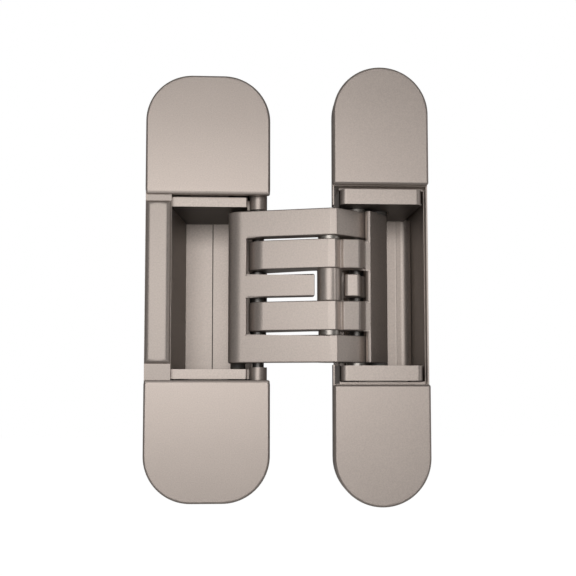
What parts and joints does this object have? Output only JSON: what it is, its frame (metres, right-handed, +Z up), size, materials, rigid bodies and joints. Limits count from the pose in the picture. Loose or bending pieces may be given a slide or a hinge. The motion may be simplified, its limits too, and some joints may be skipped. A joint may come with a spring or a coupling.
{
  "type": "concealed door hinge",
  "caption": "Concealed hinge for a flush door, open flat, with two pocket housings, clip-on end covers and crossed arms that fold into the pockets.",
  "frame": {"origin": "middle of the frame leaf, in the plane of the back of its flange, at the centre of its screw holes", "axes": "+X to the right from the frame leaf towards the door leaf, +Y into the door frame, +Z up along the hinge"},
  "size_m": [0.0716, 0.0374, 0.11],
  "materials": {
    "leaf_finish": "satin champagne metallic",
    "arm_finish": "satin champagne metallic",
    "carrier_finish": "satin champagne metallic, darker inside",
    "pin_steel": "ground",
    "washer_steel": "satin",
    "slider_bush": "moulded",
    "screw_steel": "zinc plated"
  },
  "bodies": {
    "frame_leaf": {"frame_housing": "leaf_finish", "frame_cover_top": "leaf_finish", "frame_cover_bottom": "leaf_finish", "frame_clamp_screw_top": "screw_steel", "frame_clamp_screw_bottom": "screw_steel"},
    "frame_carrier_body": {"frame_carrier": "carrier_finish", "frame_pivot_pin": "pin_steel", "frame_pivot_sleeve": "washer_steel", "frame_pivot_washer_top": "washer_steel", "frame_pivot_washer_bottom": "washer_steel"},
    "arm_b_body": {"arm_b": "arm_finish", "arm_b_slide_pin": "pin_steel", "centre_pin": "pin_steel", "centre_washer_top": "washer_steel", "centre_washer_bottom": "washer_steel", "arm_b_slider_top": "slider_bush", "arm_b_slider_bottom": "slider_bush"},
    "arm_a_body": {"arm_a": "arm_finish", "arm_a_slide_pin": "pin_steel", "door_pivot_pin": "pin_steel", "door_pivot_spacer": "arm_finish", "arm_a_slider_top": "slider_bush", "arm_a_slider_bottom": "slider_bush", "door_pivot_washer_top": "washer_steel", "door_pivot_washer_bottom": "washer_steel"},
    "door_carrier_body": {"door_carrier": "carrier_finish"},
    "door_leaf": {"door_housing": "leaf_finish", "door_cover_top": "leaf_finish", "door_cover_bottom": "leaf_finish"},
    "adjust_screw_top": {"door_adjust_screw_top": "screw_steel"},
    "adjust_screw_bottom": {"door_adjust_screw_bottom": "screw_steel"}
  },
  "joints": [
    {"name": "frame_height_slide", "type": "slide", "parent": "frame_leaf", "child": "frame_carrier_body", "axis": [0, 0, 1], "range_m": [-0.002, 0.002]},
    {"name": "door_swing", "type": "hinge", "parent": "frame_carrier_body", "child": "arm_b_body", "pos_m": [0.013, 0, 0], "axis": [0, 0, 1], "range_deg": [-115.95, 0]},
    {"name": "arm_cross_turn", "type": "hinge", "parent": "arm_b_body", "child": "arm_a_body", "pos_m": [0.031, -0.0068, 0], "axis": [0, 0, 1], "range_deg": [0, 38.11]},
    {"name": "door_leaf_turn", "type": "hinge", "parent": "arm_a_body", "child": "door_carrier_body", "pos_m": [0.0385, -0.0028, 0], "axis": [0, 0, 1], "range_deg": [-102.17, 0]},
    {"name": "door_depth_slide", "type": "slide", "parent": "door_carrier_body", "child": "door_leaf", "axis": [0, 1, 0], "range_m": [-0.0015, 0.0015]},
    {"name": "adjust_screw_top_turn", "type": "hinge", "parent": "door_leaf", "child": "adjust_screw_top", "pos_m": [0.0436, -0.0124, 0.0305], "axis": [0, 1, 0], "range_deg": [-541, 541]},
    {"name": "adjust_screw_bottom_turn", "type": "hinge", "parent": "door_leaf", "child": "adjust_screw_bottom", "pos_m": [0.0436, -0.0124, -0.0305], "axis": [0, 1, 0], "range_deg": [-541, 541]}
  ],
  "couplings": [
    {"joint": "arm_cross_turn", "follows": "door_swing", "ratio": -0.32864},
    {"joint": "door_leaf_turn", "follows": "door_swing", "ratio": 0.88109},
    {"joint": "adjust_screw_top_turn", "follows": "door_depth_slide", "rad_per_m": 6283.2},
    {"joint": "adjust_screw_bottom_turn", "follows": "door_depth_slide", "rad_per_m": 6283.2}
  ]
}
